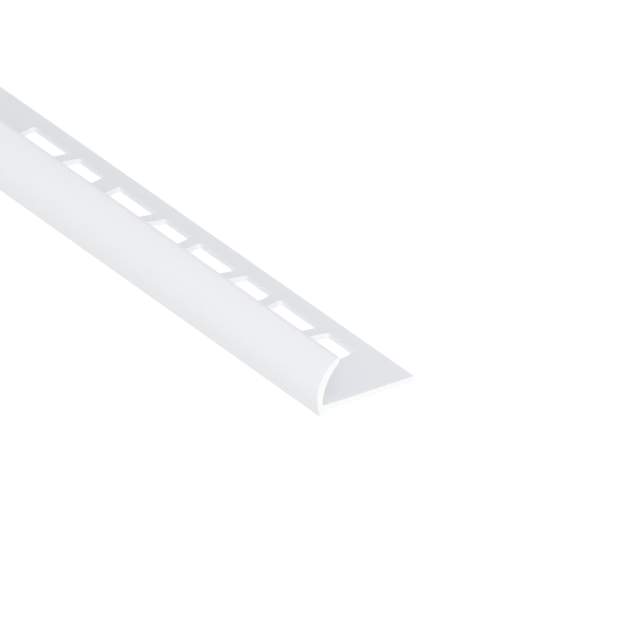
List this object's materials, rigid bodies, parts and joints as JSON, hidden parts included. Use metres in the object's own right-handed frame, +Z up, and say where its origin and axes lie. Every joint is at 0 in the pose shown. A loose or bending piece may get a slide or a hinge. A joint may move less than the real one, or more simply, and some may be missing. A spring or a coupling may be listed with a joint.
{
  "type": "quarter round tile trim",
  "caption": "Straight plastic edging trim with a quarter round face on a thin flat flange punched with trapezoid holes, for the edge of a tiled wall.",
  "frame": {"origin": "middle of the bounding box at its base, level with the tip of the toe", "axes": "+X across the bar from the curved face to the flange's edge, +Y along the bar from the end seen in the picture, +Z up from the flange to the lip"},
  "size_m": [0.0214, 2.5, 0.011],
  "materials": {
    "white_plastic": "satin"
  },
  "bodies": {
    "root": {"quarter_round_trim": "white_plastic"}
  },
  "joints": []
}
